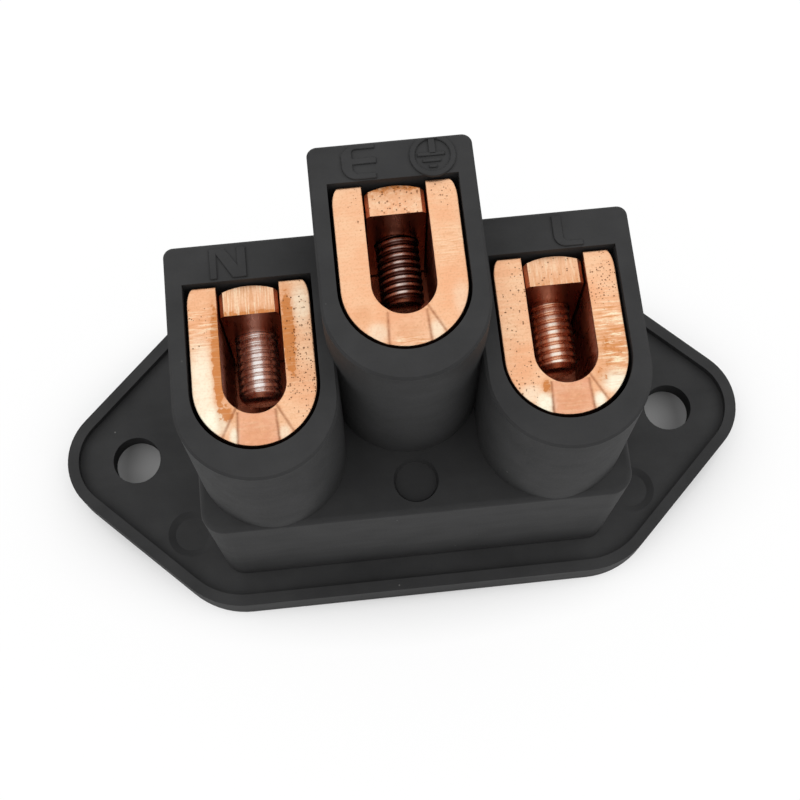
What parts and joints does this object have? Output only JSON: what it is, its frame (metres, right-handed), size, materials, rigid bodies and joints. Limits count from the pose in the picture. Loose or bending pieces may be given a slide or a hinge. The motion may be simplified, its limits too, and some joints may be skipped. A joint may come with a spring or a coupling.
{
  "type": "iec panel inlet",
  "caption": "Flanged panel power inlet: a black moulded housing with a plug recess at the front and towers with copper screw-clamp terminals at the back.",
  "frame": {"origin": "midway between the two fixing holes, on the flange's front face", "axes": "+X along the flange, +Y to the earth side, +Z to the terminals at the back"},
  "size_m": [0.05, 0.0236, 0.0312],
  "materials": {
    "black_plastic": "fine matte moulded surface",
    "copper": "bare copper, milled ends with fine streaks",
    "bronze_screw": "dull brown bronze with worn thread crests"
  },
  "bodies": {
    "inlet": {"housing": "black_plastic", "terminal_neutral": "copper", "terminal_line": "copper", "terminal_earth": "copper", "clamp_bar_neutral": "copper", "clamp_bar_line": "copper", "clamp_bar_earth": "copper"},
    "screw_neutral": {"clamp_screw_neutral": "bronze_screw"},
    "screw_line": {"clamp_screw_line": "bronze_screw"},
    "screw_earth": {"clamp_screw_earth": "bronze_screw"}
  },
  "joints": [
    {"name": "screw_neutral_travel", "type": "slide", "parent": "inlet", "child": "screw_neutral", "axis": [0, 1, 0], "range_m": [-0.0016, 0.004]},
    {"name": "screw_line_travel", "type": "slide", "parent": "inlet", "child": "screw_line", "axis": [0, 1, 0], "range_m": [-0.0016, 0.004]},
    {"name": "screw_earth_travel", "type": "slide", "parent": "inlet", "child": "screw_earth", "axis": [0, 1, 0], "range_m": [-0.0016, 0.004]}
  ]
}
